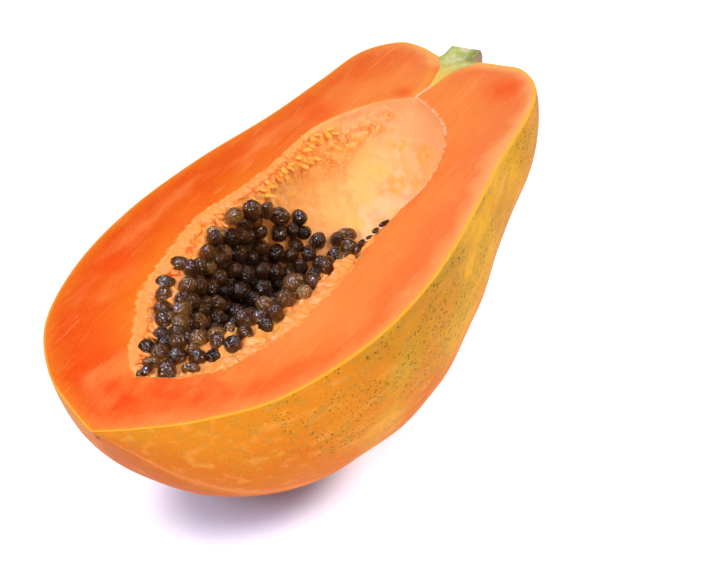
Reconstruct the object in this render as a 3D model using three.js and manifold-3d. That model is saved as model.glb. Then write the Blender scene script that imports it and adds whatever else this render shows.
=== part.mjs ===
// Half of a ripe papaya, cut lengthwise and lying on its back, in millimetres, +Z up.
//
// Everything is laid out in the fruit's own frame: the blossom tip is at the origin, +X runs to the
// stem, +Y to the left of that and the cut face is the plane z = 0. At the end the group moves down
// onto its flat spot, so that z = 0 is what the half lies on and the Z axis is the middle of its box.
import * as THREE from "three";
import { mergeVertices } from "three/addons/utils/BufferGeometryUtils.js";
import Module from "manifold-3d";

// Outlines of the cut face, as [x, y], and of the lowest line below it, as [x, z]. The three outlines
// of a set have as many points each, because points of one number make one cross-section.
const SKIN = {
  left: [
    [0, 0], [7, 14.5], [20, 36], [43, 56.7], [75, 67.9], [109, 69.8], [144, 63.8],
    [178, 53], [207, 46.8], [228, 42.3], [238.6, 30.5], [238, 19], [234, 9], [231, 0],
  ],
  right: [
    [0, 0], [6.3, -14], [18, -34], [38, -54.2], [72, -66.8], [108, -68.5], [144, -62.5],
    [178, -54.7], [205, -50.2], [223, -43.2], [233, -31.5], [234, -22], [233.5, -11], [231, 0],
  ],
  keel: [
    [0, 0], [7, -14.6], [19, -39.4], [41, -62.4], [76, -79.2], [116, -87], [154, -82.2],
    [182, -67], [208, -56.4], [226, -46.2], [236.5, -33.5], [236, -21], [232, -9], [231, 0],
  ],
};
const SEED_CAVITY = {
  left: [
    [29, 3.5], [37, 12], [51, 20.5], [68, 31], [90, 36], [113, 38.8],
    [135, 33.4], [155, 30.8], [174, 30], [188, 23], [199, 13], [205, 0],
  ],
  right: [
    [29, 3.5], [34, -13], [44, -24.5], [60, -32.4], [80, -35.6], [98, -36.7],
    [118, -34.7], [138, -34.3], [158, -34.5], [178, -29], [194, -17.4], [205, 0],
  ],
  keel: [
    [29, 0], [37, -17], [50, -30], [68, -40], [90, -46], [113, -48],
    [135, -46], [155, -42.5], [174, -37], [188, -30], [199, -18], [205, 0],
  ],
};
// The hollow in the middle of the seeds, which line the wall at the blossom end of the cavity. It
// leaves the cavity where the seeds end.
const HOLLOW = {
  left: [[50, 2], [60, 8], [74, 18], [90, 24.5], [108, 28], [126, 29.5], [144, 34], [160, 42], [215, 0]],
  right: [
    [50, 2], [60, -7], [74, -14], [90, -18], [108, -23], [126, -29.5], [144, -36], [160, -42], [215, 0],
  ],
  keel: [
    [50, 0], [60, -10], [74, -22], [90, -32], [108, -39], [126, -41], [144, -42], [160, -46], [215, 0],
  ],
};

const SECTION_POWER = 2.14; // a cross-section is a slightly squared ellipse
const REST_DEPTH = 83.6; // from the cut face down to the flat spot that the half lies on
const MIDDLE = [120.85, 0.58]; // x and y of the middle of the box
// Edges that run from end to end. Those of the fruit stand out and those of its cavity stand in. edge
// is the angle of one of them, and depth is a share of the radius, with more of it at both ends.
const FRUIT_EDGES = { count: 5, edge: 1.97, depth: 0.018, atEnds: 0.035, inwards: false };
const CAVITY_EDGES = { count: 5, edge: 1.4, depth: 0.05, atEnds: 0, inwards: true };
const PULP = { height: 0.8, pitch: 7 }; // lumps of the torn pulp on the cavity's wall
// The pale lining of pulp that stands out from the wall just under the cut face, with a comb of teeth.
const LINING = {
  // how far it stands out on either side, as [x, height]
  left: [[29, 1], [42, 4.6], [70, 5.6], [110, 5], [132, 3.2], [160, 2.4], [180, 0.6], [205, 0]],
  right: [[29, 1], [40, 5], [62, 6.4], [82, 6], [100, 4], [118, 1], [150, 0.4], [205, 0]],
  // angles down from the cut face: it is full from thin to thick, and ends at end
  thin: 0.05,
  thick: 0.16,
  end: 0.62,
  tooth: 8.2, // from one tooth to the next
  notch: 0.35, // depth of the notches between them, as a share of the height
};
const GAP = 0.35; // between two solids that touch
const HEAP_CLEARANCE = PULP.height + 2 * GAP; // of the seeds and their pulp from the smooth wall

// Facets along the fruit and around it. crowding draws those of the cavity towards the cut face.
const SKIN_GRID = { along: 48, around: 20 };
const CAVITY_GRID = { around: 18, crowding: 0.7 };
const HEAP_GRID = { along: 22, around: 12, start: 0.03, end: 0.97, lid: 0.5 };
const HOLLOW_GRID = { along: 22, around: 12, start: 0, end: 1, lid: 20 };

// spread is how far the sizes differ, as a share, and turns are the angles for a draw of 1.
const SEED = { length: 6.9, width: 5.9, spread: 0.12, turns: [17, 29], slices: 5, stacks: 4 };
const SEEDS = {
  random: 20, // start of the random draws
  tries: 7000,
  spacing: 0.88, // least distance between two middles, as a share of their mean length
  end: [128, 151], // x where the seeds end, at the cut face and at endDepth
  endDepth: 30,
  ragged: 7, // length over which they thin out
  onLedge: 0.4, // share of the draws for the seeds that lie level with the cut face
  ledge: -3.4, // z of the middles of those seeds
  ledgeStart: 30, // x where they begin
  ledgeWidth: 76,
  hollowStart: 50, // x where the hollow parts them
  looseness: 1.6, // how much a middle may stand higher or lower
  fromOutside: 1.6, // places on the hollow's wall up to this outwardness are moved in from the wall
  sunk: 1.4, // how far the pulp below lies under the seeds' middles
};
const STRAY_SEEDS = [
  // x, y, z of the middles of seeds stuck to the flesh apart from the rest
  [27.5, 4.4, -1.6],
  [134, -30.9, -3.4],
  [160, 12, -37.4],
];

// The stalk's middle line and its radii there, from the point of its root in the flesh to its cut end.
const STEM = {
  route: [
    [214, -1.1, -0.4], [221.5, -1, -1.6], [227.5, -1.2, -2.6], [232.5, -1.4, -3.2], [236, -0.5, -2.8],
    [241.7, -0.1, -2.5],
  ],
  radii: [1, 2.8, 5.2, 9, 7.5, 7.1],
};
const STEM_GRID = { along: 15, around: 12 };

const FINISHES = {
  papaya_half: { color: "#f47a30", roughness: 0.45 },
  seeds: { color: "#2b2219", roughness: 0.2 },
  stem: { color: "#a3ad52", roughness: 0.6 },
};

const wasm = await Module();
wasm.setup();

// ---- small tools ------------------------------------------------------------------------------

// A closed three.js geometry as a manifold-3d solid.
function solidOf(geometry) {
  const bare = new THREE.BufferGeometry();
  bare.setAttribute("position", geometry.getAttribute("position"));
  bare.setIndex(geometry.getIndex());
  const merged = mergeVertices(bare, 1e-3);
  const mesh = new wasm.Mesh({
    numProp: 3,
    vertProperties: new Float32Array(merged.getAttribute("position").array),
    triVerts: new Uint32Array(merged.getIndex().array),
  });
  return new wasm.Manifold(mesh);
}

// The largest body of a manifold-3d solid, as a three.js geometry.
function geometryOf(solid) {
  const bodies = solid.decompose().sort((a, b) => b.volume() - a.volume());
  const mesh = bodies[0].getMesh();
  const geometry = new THREE.BufferGeometry();
  geometry.setAttribute("position", new THREE.Float32BufferAttribute(mesh.vertProperties, 3));
  geometry.setIndex(new THREE.Uint32BufferAttribute(mesh.triVerts, 1));
  geometry.computeVertexNormals();
  return geometry;
}

// A closed skin over rings of points: ring i joins ring i + 1, and a ring's last point its first.
// Triangles that a pole squeezes to nothing are left out.
function skinOver(rings) {
  const across = rings[0].length;
  const points = rings.flat();
  const faces = [];
  const addFace = (a, b, c) => {
    const sides = [[a, b], [b, c], [c, a]];
    if (sides.every(([p, q]) => points[p].distanceTo(points[q]) > 2e-3)) faces.push(a, b, c);
  };
  for (let i = 0; i + 1 < rings.length; i++) {
    for (let j = 0; j < across; j++) {
      const next = (j + 1) % across;
      const corners = [i * across + j, (i + 1) * across + j, (i + 1) * across + next, i * across + next];
      addFace(corners[0], corners[1], corners[2]);
      addFace(corners[0], corners[2], corners[3]);
    }
  }
  const geometry = new THREE.BufferGeometry();
  geometry.setFromPoints(points);
  geometry.setIndex(faces);
  return geometry;
}

// A ring that closes the end of a skin: the middle of the ring beside it, as often as that has points.
function closingRing(ring) {
  const middle = new THREE.Vector3();
  for (const point of ring) middle.addScaledVector(point, 1 / ring.length);
  return Array(ring.length).fill(middle);
}

// A seeded stream of random numbers from 0 to 1.
function randomStream(start) {
  let state = start;
  return () => {
    state = (Math.imul(state, 1664525) + 1013904223) >>> 0;
    return state / 2 ** 32;
  };
}

// ---- the outlines as smooth lines ---------------------------------------------------------------

function smoothLine(points) {
  const corners = points.map((p) => new THREE.Vector3(...p));
  return new THREE.CatmullRomCurve3(corners, false, "catmullrom", 0.5);
}

function smoothForm(form) {
  return {
    left: smoothLine(form.left.map(([x, y]) => [x, y, 0])),
    right: smoothLine(form.right.map(([x, y]) => [x, y, 0])),
    keel: smoothLine(form.keel.map(([x, z]) => [x, 0, z])),
    ends: [form.left[0][1], form.left.at(-1)[1]],
  };
}

// What the edges take off the radius. They fade out at the cut face, whose outline stays as drawn.
function edgeFactor(edges, share, angle) {
  const wave = Math.abs(Math.sin((edges.count / 2) * (angle - edges.edge)));
  const depth = edges.depth + edges.atEnds * (2 * share - 1) ** 4;
  return 1 - depth * (edges.inwards ? 1 - wave : wave) * Math.sin(angle) ** 2;
}

// A point of a form. share runs from 0 at the tip end to 1 at the stem end, and angle from 0 at the
// left edge, down round the bottom, to pi at the right edge.
function pointOn(form, share, angle, edges) {
  const cos = Math.cos(angle);
  const sin = Math.abs(Math.sin(angle));
  const edge = (cos >= 0 ? form.left : form.right).getPoint(share);
  const keel = form.keel.getPoint(share);
  const middle = THREE.MathUtils.lerp(form.ends[0], form.ends[1], share);
  const halfWidth = Math.abs(edge.y - middle);
  const depth = Math.abs(keel.z);
  const reach = ((Math.abs(cos) * depth) ** SECTION_POWER + (sin * halfWidth) ** SECTION_POWER)
    ** (1 / SECTION_POWER);
  const factor = edges ? edgeFactor(edges, share, angle) : 1;
  const radius = reach > 1e-6 ? (factor * halfWidth * depth) / reach : 0;
  const x = THREE.MathUtils.lerp(edge.x, keel.x, sin ** 2);
  return new THREE.Vector3(x, middle + radius * cos, -radius * sin);
}

const skin = smoothForm(SKIN);
const cavity = smoothForm(SEED_CAVITY);
const hollow = smoothForm(HOLLOW);

// ---- the flesh with its rind --------------------------------------------------------------------

// The height at x of a line of [x, height] points, straight between them.
function heightAt(points, x) {
  const next = Math.max(points.findIndex(([from]) => from > x), 1);
  const [x0, y0] = points[next - 1];
  const [x1, y1] = points[next];
  return THREE.MathUtils.mapLinear(THREE.MathUtils.clamp(x, x0, x1), x0, x1, y0, y1);
}

// How far the lining of pulp stands out: full a little under the cut face, then fading downwards.
function liningHeight(x, angle) {
  const down = Math.min(angle, Math.PI - angle);
  const height = heightAt(angle < Math.PI / 2 ? LINING.left : LINING.right, x);
  const rise = THREE.MathUtils.smoothstep(down, 0, LINING.thin);
  return height * rise * (1 - THREE.MathUtils.smoothstep(down, LINING.thick, LINING.end));
}

// Lumps of torn pulp: crossed waves that fade out at the rim.
function pulpHeight(point, angle) {
  const turn = (2 * Math.PI) / PULP.pitch;
  const waves = Math.sin(point.x * turn) * Math.sin((point.y + 0.6 * point.z) * turn)
    + 0.6 * Math.sin(1.7 * turn * (point.x - 0.7 * point.y));
  return (PULP.height / 1.6) * waves * Math.sin(angle) ** 0.5;
}

// Moves a point of the cavity's wall straight towards the middle line.
function inwards(point, distance) {
  const middle = new THREE.Vector3(point.x, 0, 0);
  const room = middle.distanceTo(point);
  return point.lerp(middle, room > 1e-6 ? Math.min(distance / room, 0.9) : 0);
}

function skinPoint(share, angle) {
  const point = pointOn(skin, share, angle, FRUIT_EDGES);
  point.z = Math.max(point.z, -REST_DEPTH);
  return point;
}

function cavityPoint(share, angle) {
  const point = pointOn(cavity, share, angle, CAVITY_EDGES);
  const tooth = 1 - LINING.notch * Math.cos((Math.PI * point.x) / LINING.tooth) ** 2;
  return inwards(point, tooth * liningHeight(point.x, angle) + pulpHeight(point, angle));
}

// Angles from 0 to pi, closer together near the cut face.
function cavityAngles() {
  return Array.from({ length: CAVITY_GRID.around + 1 }, (_, j) => {
    const turn = (2 * Math.PI * j) / CAVITY_GRID.around;
    return (turn - CAVITY_GRID.crowding * Math.sin(turn)) / 2;
  });
}

// One ring goes down round the rind, across the cut face, down round the cavity and back out.
function fleshRings() {
  const rings = [];
  for (let i = 0; i <= SKIN_GRID.along; i++) {
    const share = i / SKIN_GRID.along;
    const ring = [];
    for (let j = 0; j <= SKIN_GRID.around; j++) {
      ring.push(skinPoint(share, (j / SKIN_GRID.around) * Math.PI));
    }
    for (const angle of cavityAngles().reverse()) ring.push(cavityPoint(share, angle));
    rings.push(ring);
  }
  return rings;
}

// ---- the seeds ----------------------------------------------------------------------------------

// The share of a form's length at which it reaches x, found by halving.
function shareAt(form, x) {
  let low = 0;
  let high = 1;
  for (let i = 0; i < 24; i++) {
    const middle = (low + high) / 2;
    if (form.keel.getPoint(middle).x < x) low = middle;
    else high = middle;
  }
  return low;
}

// How far out a point is in the cavity: 1 where it is clearance away from the lining or the wall, and
// less nearer the middle.
function outwardness(point, clearance) {
  const share = shareAt(cavity, point.x);
  const middle = THREE.MathUtils.lerp(cavity.ends[0], cavity.ends[1], share);
  const edge = (point.y >= middle ? cavity.left : cavity.right).getPoint(share);
  const keel = cavity.keel.getPoint(share);
  const sideways = (point.y - middle) / Math.abs(edge.y - middle);
  const angle = Math.atan2(Math.max(point.z / keel.z, 0), sideways);
  const factor = edgeFactor(CAVITY_EDGES, share, angle);
  const width = Math.abs(edge.y - middle) * factor;
  const depth = Math.abs(keel.z) * factor;
  const inset = clearance + liningHeight(point.x, angle);
  if (width < inset + 1 || depth < inset + 1) return Infinity;
  const across = Math.abs(point.y - middle) / (width - inset);
  const down = Math.max(-point.z, 0) / (depth - inset);
  return (across ** SECTION_POWER + down ** SECTION_POWER) ** (1 / SECTION_POWER);
}

// A place drawn on the wall of the hollow.
function placeInHollow(draws) {
  const middle = pointOn(hollow, draws[0], draws[1] * Math.PI);
  middle.z = Math.min(middle.z, SEEDS.ledge);
  return middle;
}

// A place drawn beside the hollow, level with the cut face, or nothing if it falls in the hollow.
function placeOnLedge(draws) {
  const x = THREE.MathUtils.lerp(SEEDS.ledgeStart, SEEDS.end[0], draws[0]);
  const y = SEEDS.ledgeWidth * (draws[1] - 0.5);
  const share = shareAt(hollow, x);
  const edge = (y > 0 ? hollow.left : hollow.right).getPoint(share);
  if (x > SEEDS.hollowStart && Math.abs(y) < Math.abs(edge.y)) return null;
  return new THREE.Vector3(x, y, SEEDS.ledge);
}

// Places for the seeds. A place is drawn, moved in from the wall, and kept when no seed is too near.
function seedPlaces() {
  const random = randomStream(SEEDS.random);
  const kept = [];
  for (let n = 0; n < SEEDS.tries; n++) {
    const draws = Array.from({ length: 7 }, random);
    const onLedge = draws[2] < SEEDS.onLedge;
    const middle = onLedge ? placeOnLedge(draws) : placeInHollow(draws);
    if (!middle) continue;
    middle.z += SEEDS.looseness * (draws[3] - 0.5);
    const size = 1 + SEED.spread * (2 * draws[4] - 1);
    const out = outwardness(middle, (SEED.length * size) / 2 + HEAP_CLEARANCE);
    if (out > (onLedge ? 1 : SEEDS.fromOutside)) continue;
    if (out > 1) {
      const axis = THREE.MathUtils.lerp(cavity.ends[0], cavity.ends[1], shareAt(cavity, middle.x));
      middle.y = axis + (middle.y - axis) / out;
      middle.z /= out;
    }
    const end = THREE.MathUtils.lerp(...SEEDS.end, Math.min(-middle.z / SEEDS.endDepth, 1));
    if (middle.x > end + SEEDS.ragged * (draws[5] - 0.5)) continue;
    const tooNear = kept.some(
      (seed) => seed.middle.distanceTo(middle) < (SEEDS.spacing * SEED.length * (seed.size + size)) / 2,
    );
    if (!tooNear) kept.push({ middle, size, turn: draws[6] });
  }
  return kept;
}

// A seed: a slightly longer than wide ellipsoid, turned by its own random share of a turn.
function seedGeometry({ middle, size, turn }) {
  const geometry = new THREE.SphereGeometry(0.5, SEED.slices, SEED.stacks);
  geometry.scale(SEED.width * size, SEED.width * size, SEED.length * size);
  geometry.rotateX(turn * SEED.turns[0]);
  geometry.rotateZ(turn * SEED.turns[1]);
  geometry.translate(middle.x, middle.y, middle.z);
  return geometry;
}

// The solid inside a wall whose points are pointAt(share, angle). It runs from the share grid.start to
// grid.end and is carried straight up by grid.lid.
function filledForm(pointAt, grid) {
  const up = new THREE.Vector3(0, 0, grid.lid);
  const rings = [];
  for (let i = 0; i <= grid.along; i++) {
    const share = THREE.MathUtils.lerp(grid.start, grid.end, i / grid.along);
    const ring = [];
    for (let j = 0; j <= grid.around; j++) ring.push(pointAt(share, (j / grid.around) * Math.PI));
    if (grid.lid > 0) ring.push(ring.at(-1).clone().add(up), ring[0].clone().add(up));
    rings.push(ring);
  }
  return solidOf(skinOver([closingRing(rings[0]), ...rings, closingRing(rings.at(-1))]));
}

function boxSolid(low, high) {
  const size = new THREE.Vector3().subVectors(high, low);
  const geometry = new THREE.BoxGeometry(size.x, size.y, size.z);
  geometry.translate((low.x + high.x) / 2, (low.y + high.y) / 2, (low.z + high.z) / 2);
  return solidOf(geometry);
}

// The heap: the pulp that fills the space between the hollow and the wall, with the seeds on it. Both
// forms have a lid above the top of the pulp.
function seedHeap() {
  const wallSide = (share, angle) => {
    const point = pointOn(cavity, share, angle, CAVITY_EDGES);
    const under = THREE.MathUtils.clamp(angle, LINING.thin, Math.PI - LINING.thin);
    return inwards(point, HEAP_CLEARANCE + liningHeight(point.x, under));
  };
  const hollowSide = (share, angle) => inwards(pointOn(hollow, share, angle), -SEEDS.sunk);
  const slab = boxSolid(
    new THREE.Vector3(0, -60, -60),
    new THREE.Vector3(SEEDS.end[1], 60, SEEDS.ledge - SEEDS.sunk),
  );
  let heap = filledForm(wallSide, HEAP_GRID).intersect(slab);
  heap = heap.subtract(filledForm(hollowSide, HOLLOW_GRID));
  for (const place of seedPlaces()) heap = heap.add(solidOf(seedGeometry(place)));
  return heap;
}

// ---- the stalk ------------------------------------------------------------------------------------

const stemRoute = smoothLine(STEM.route);
const stemRadius = smoothLine(STEM.radii.map((radius, i) => [i, radius, 0]));

// A point of the stalk's round side, which stops at the cut face: angle 0 is its left edge there and pi
// its right edge. grow makes it thicker and its root longer.
function stemPoint(share, angle, grow) {
  const middle = stemRoute.getPoint(share);
  const radius = stemRadius.getPoint(share).y + grow;
  const overLevel = Math.asin(-middle.z / radius);
  const turn = THREE.MathUtils.mapLinear(angle, 0, Math.PI, -overLevel, Math.PI + overLevel);
  return new THREE.Vector3(
    middle.x - grow * (1 - share),
    middle.y + radius * Math.cos(turn),
    middle.z - radius * Math.sin(turn),
  );
}

function stemSolid(grow) {
  const grid = { ...STEM_GRID, start: 0, end: 1, lid: grow };
  return filledForm((share, angle) => stemPoint(share, angle, grow), grid);
}

// ---- the three pieces put together ----------------------------------------------------------------

function papayaHalf() {
  let half = solidOf(skinOver(fleshRings()));
  half = half.subtract(stemSolid(GAP));
  for (const [x, y, z] of STRAY_SEEDS) {
    const middle = new THREE.Vector3(x, y, z);
    half = half.add(solidOf(seedGeometry({ middle, size: 1, turn: x / 7 })));
  }
  return half;
}

const pieces = { papaya_half: papayaHalf(), seeds: seedHeap(), stem: stemSolid(0) };
const papaya = new THREE.Group();
for (const [name, solid] of Object.entries(pieces)) {
  const { color, roughness } = FINISHES[name];
  const material = new THREE.MeshStandardMaterial({ color, roughness, metalness: 0 });
  const mesh = new THREE.Mesh(geometryOf(solid), material);
  mesh.name = name;
  papaya.add(mesh);
}
papaya.position.set(-MIDDLE[0], -MIDDLE[1], REST_DEPTH);

export default papaya;
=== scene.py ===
"""A papaya cut in half lengthwise: moist orange flesh in a thin waxy rind, a seed cavity lined with pale
torn pulp, wet dark seeds and a sliced green stalk.

Shapes are worked out in millimetres in the fruit's own frame: the blossom tip is at the origin, +X runs
to the stalk, +Y is left of that and the cut face is the plane z = 0. Every mesh is then moved by TIP
into the part's frame.
"""
from functools import partial, reduce

import bpy
import numpy as np
from mathutils import Matrix, Vector


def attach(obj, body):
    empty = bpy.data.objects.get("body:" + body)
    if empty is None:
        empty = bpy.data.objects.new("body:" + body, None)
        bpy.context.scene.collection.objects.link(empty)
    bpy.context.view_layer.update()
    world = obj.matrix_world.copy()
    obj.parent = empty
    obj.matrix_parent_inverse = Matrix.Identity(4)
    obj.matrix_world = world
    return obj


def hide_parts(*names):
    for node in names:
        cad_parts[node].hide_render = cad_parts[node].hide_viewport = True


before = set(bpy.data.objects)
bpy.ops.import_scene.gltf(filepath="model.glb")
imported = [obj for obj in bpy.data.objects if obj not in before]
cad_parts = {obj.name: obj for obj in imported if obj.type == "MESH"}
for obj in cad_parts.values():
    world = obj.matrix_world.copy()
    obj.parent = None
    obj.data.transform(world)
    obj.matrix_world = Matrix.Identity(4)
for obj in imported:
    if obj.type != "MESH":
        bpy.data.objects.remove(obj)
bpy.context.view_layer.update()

TIP = np.array([-120.85, -0.58, 83.6])  # place of the blossom tip in the part's frame
MM = 0.001
UP = np.array([0.0, 0.0, 1.0])

# ---- measures, in mm ------------

# Outlines of the cut face, as x and y, and of the lowest line below it, as x and z.
SKIN = {
    "left": [
        (0, 0), (7, 14.5), (20, 36), (43, 56.7), (75, 67.9), (109, 69.8), (144, 63.8),
        (178, 53), (207, 46.8), (228, 42.3), (238.6, 30.5), (238, 19), (234, 9), (231, 0),
    ],
    "right": [
        (0, 0), (6.3, -14), (18, -34), (38, -54.2), (72, -66.8), (108, -68.5), (144, -62.5),
        (178, -54.7), (205, -50.2), (223, -43.2), (233, -31.5), (234, -22), (233.5, -11), (231, 0),
    ],
    "keel": [
        (0, 0), (7, -14.6), (19, -39.4), (41, -62.4), (76, -79.2), (116, -87), (154, -82.2),
        (182, -67), (208, -56.4), (226, -46.2), (236.5, -33.5), (236, -21), (232, -9), (231, 0),
    ],
}
CAVITY = {
    "left": [
        (29, 3.5), (37, 12), (51, 20.5), (68, 31), (90, 36), (113, 38.8),
        (135, 33.4), (155, 30.8), (174, 30), (188, 23), (199, 13), (205, 0),
    ],
    "right": [
        (29, 3.5), (34, -13), (44, -24.5), (60, -32.4), (80, -35.6), (98, -36.7),
        (118, -34.7), (138, -34.3), (158, -34.5), (178, -29), (194, -17.4), (205, 0),
    ],
    "keel": [
        (29, 0), (37, -17), (50, -30), (68, -40), (90, -46), (113, -48),
        (135, -46), (155, -42.5), (174, -37), (188, -30), (199, -18), (205, 0),
    ],
}
# The hollow between the seeds. It leaves the cavity where the seeds end.
HOLLOW = {
    "left": [
        (50, 2), (60, 8), (74, 18), (90, 24.5), (108, 28), (126, 29.5), (144, 34), (160, 42), (215, 0),
    ],
    "right": [
        (50, 2), (60, -7), (74, -14), (90, -18), (108, -23), (126, -29.5), (144, -36), (160, -42), (215, 0),
    ],
    "keel": [
        (50, 0), (60, -10), (74, -22), (90, -32), (108, -39), (126, -41), (144, -42), (160, -46), (215, 0),
    ],
}
SECTION_POWER = 2.14
REST_DEPTH = 83.6  # from the cut face down to the small flat spot that the fruit rests on
THICKEST_FLESH = 36
# Edges from end to end: how many, the angle of one, depth as a share of the radius, more at both ends.
FRUIT_EDGES = {
    "count": 5, "edge": 1.97, "depth": 0.018, "at_ends": 0.035, "inwards": False, "softness": 0.05,
}
CAVITY_EDGES = {
    "count": 5, "edge": 1.4, "depth": 0.05, "at_ends": -0.03, "inwards": True, "softness": 0.12,
}

# ---- lines and forms ------------


def smooth_line(points, share):
    """Points of a smooth line at shares of its length: each stretch is a cubic that leaves a corner in
    the direction from the corner before it to the corner after it."""
    corners = np.asarray(points, float)
    before, after = 2 * corners[0] - corners[1], 2 * corners[-1] - corners[-2]
    corners = np.vstack([before, corners, after])
    place = np.clip(share, 0, 1) * (len(corners) - 3)
    i = np.minimum(place.astype(int), len(corners) - 4)
    t = (place - i)[..., None]
    a, b, c, d = corners[i], corners[i + 1], corners[i + 2], corners[i + 3]
    return b + 0.5 * t * ((c - a) + t * ((2 * a - 5 * b + 4 * c - d) + t * (3 * (b - c) + d - a)))


def edge_factor(edges, share, angle):
    """What the edges take off the radius: a wave from edge to edge that fades at the cut face."""
    if not edges:
        return 1.0
    wave = np.sqrt(np.sin(edges["count"] / 2 * (angle - edges["edge"])) ** 2 + edges["softness"] ** 2)
    depth = edges["depth"] + edges["at_ends"] * (2 * share - 1) ** 4
    return 1 - depth * ((1 - wave) if edges["inwards"] else wave) * np.sin(angle) ** 2


def squared_ellipse(angle, half_width, depth):
    """The radius of a cross-section, an ellipse squared a little by its power p:
    w d / ((d |cos a|)^p + (w |sin a|)^p)^(1/p)."""
    power = SECTION_POWER
    reach = (np.abs(np.cos(angle)) * depth) ** power + (np.abs(np.sin(angle)) * half_width) ** power
    return half_width * depth / np.maximum(reach ** (1 / power), 1e-9)


def cross_section(form, share, on_left):
    """A cross-section's middle, half its width on one side, its depth, and where its edge and its lowest
    point lie along X."""
    left, right, keel = (smooth_line(form[side], share) for side in ("left", "right", "keel"))
    edge = np.where(np.asarray(on_left)[..., None], left, right)
    middle = form["left"][0][1] * (1 - share)
    return middle, np.abs(edge[..., 1] - middle), np.abs(keel[..., 1]), edge[..., 0], keel[..., 0]


def form_point(form, share, angle, edges=None):
    """A point of a form: share runs from the tip end to the stalk end, and angle from 0 at the left
    edge, down round the bottom, to pi at the right edge."""
    share, angle = np.broadcast_arrays(np.asarray(share, float), np.asarray(angle, float))
    cos, sin = np.cos(angle), np.abs(np.sin(angle))
    middle, half_width, depth, edge_x, keel_x = cross_section(form, share, cos >= 0)
    radius = edge_factor(edges, share, angle) * squared_ellipse(angle, half_width, depth)
    return np.stack([edge_x + (keel_x - edge_x) * sin**2, middle + radius * cos, -radius * sin], axis=-1)


def share_at(form, x):
    """The share of a form's length at which its lowest line reaches x."""
    shares = np.linspace(0, 1, 2001)
    return np.interp(x, smooth_line(form["keel"], shares)[:, 0], shares)


def radius_at(form, x, angle, edges=None):
    """A form's middle and its radius in the direction of angle, at x."""
    share = share_at(form, x)
    middle, half_width, depth, _, _ = cross_section(form, share, np.cos(angle) >= 0)
    return middle, edge_factor(edges, share, angle) * squared_ellipse(angle, half_width, depth)


def ease(value, start, end):
    """0 before start, 1 after end, and an S-shaped cubic between them."""
    t = np.clip((value - start) / (end - start), 0, 1)
    return t * t * (3 - 2 * t)


def plateau(value, start, full, fading, end):
    """0 before start and after end, 1 from full to fading, and eased between them."""
    return ease(value, start, full) * (1 - ease(value, fading, end))


def bell(distance, size, power=2):
    """1 at no distance, falling off like a bell curve: e to the power of -(distance / size)^power."""
    return np.exp(-((distance / size) ** power))


def lumps(points, pitch, seed):
    """Random soft lumps about pitch apart, from about -1 to 1: the sum of 14 sine waves in random
    directions."""
    draws = np.random.default_rng(seed)
    directions = draws.normal(size=(3, 14))
    directions *= draws.uniform(0.75, 1.35, 14) / np.linalg.norm(directions, axis=0)
    waves = np.sin(points @ directions * (2 * np.pi / pitch) + draws.uniform(0, 2 * np.pi, 14))
    return waves.sum(-1) / 3.2


def inwards(points, distance):
    """Moves points of the cavity's wall straight towards the middle line, never past it."""
    middle = points * [1, 0, 0]
    room = np.maximum(np.linalg.norm(points - middle, axis=-1), 1e-6)
    return points + (middle - points) * np.clip(distance / room, -0.9, 0.9)[..., None]


# ---- meshes ------------


def tube_faces(rows, columns, count=1):
    """Two triangles for each square of a grid of points whose last column is joined to its first, for
    as many grids as there are."""
    i, j = np.meshgrid(np.arange(rows - 1), np.arange(columns), indexing="ij")
    a, b = i * columns + j, i * columns + (j + 1) % columns
    faces = np.stack([a, a + columns, b + columns, a, b + columns, b], axis=-1).reshape(-1, 3)
    return (faces + np.arange(count)[:, None, None] * rows * columns).reshape(-1, 3)


def new_object(name, data):
    """An object in the scene for a mesh, a lamp or a camera."""
    made = bpy.data.objects.new(name, data)
    bpy.context.collection.objects.link(made)
    return made


def make_mesh(name, points, faces, finishes, finish_of=None, values=None, sharp=None):
    """A mesh object from points in mm and triangles. Points that lie on each other become one, which
    closes seams and poles. values are numbers kept on the points for the finishes to read, and sharp
    marks the points whose shared edges stay crisp."""
    points = points.reshape(-1, 3)
    a, b, c = np.moveaxis(points[faces], 1, 0)
    if np.einsum("ij,ij->", a, np.cross(b, c)) < 0:
        faces = faces[:, ::-1]
    _, first, place = np.unique(np.round(points, 3), axis=0, return_index=True, return_inverse=True)
    place = place.reshape(-1)
    joined = place[faces]
    whole = (joined != np.roll(joined, 1, axis=1)).all(axis=1)
    joined = joined[whole]
    mesh = bpy.data.meshes.new(name)
    mesh.vertices.add(len(first))
    mesh.vertices.foreach_set("co", ((points[first] + TIP) * MM).ravel())
    mesh.loops.add(joined.size)
    mesh.loops.foreach_set("vertex_index", joined.ravel())
    mesh.polygons.add(len(joined))
    mesh.polygons.foreach_set("loop_start", np.arange(0, joined.size, 3))
    for finish in finishes:
        mesh.materials.append(finish)
    if finish_of is not None:
        mesh.polygons.foreach_set("material_index", np.asarray(finish_of)[whole].astype(np.int32))
    mesh.update(calc_edges=True)
    mesh.shade_smooth()
    for key, value in (values or {}).items():
        value = np.asarray(value, np.float32).reshape(len(points), -1)[first]
        kind, field = ("FLOAT", "value") if value.shape[1] == 1 else ("FLOAT_VECTOR", "vector")
        mesh.attributes.new(key, kind, "POINT").data.foreach_set(field, value.ravel())
    if sharp is not None:
        ends = np.empty(2 * len(mesh.edges), np.int32)
        mesh.edges.foreach_get("vertices", ends)
        crisp = np.zeros(len(first), bool)
        crisp[place[np.asarray(sharp).ravel()]] = True
        mark = mesh.attributes.new("sharp_edge", "BOOLEAN", "EDGE")
        mark.data.foreach_set("value", crisp[ends.reshape(-1, 2)].all(axis=1))
    mesh.validate()
    return new_object(name, mesh)


def put_on(piece, node_name):
    """Makes a piece ride on the one body and hides the CAD node that it stands for."""
    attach(piece, "root")
    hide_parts(node_name)


# ---- finishes ------------

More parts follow.
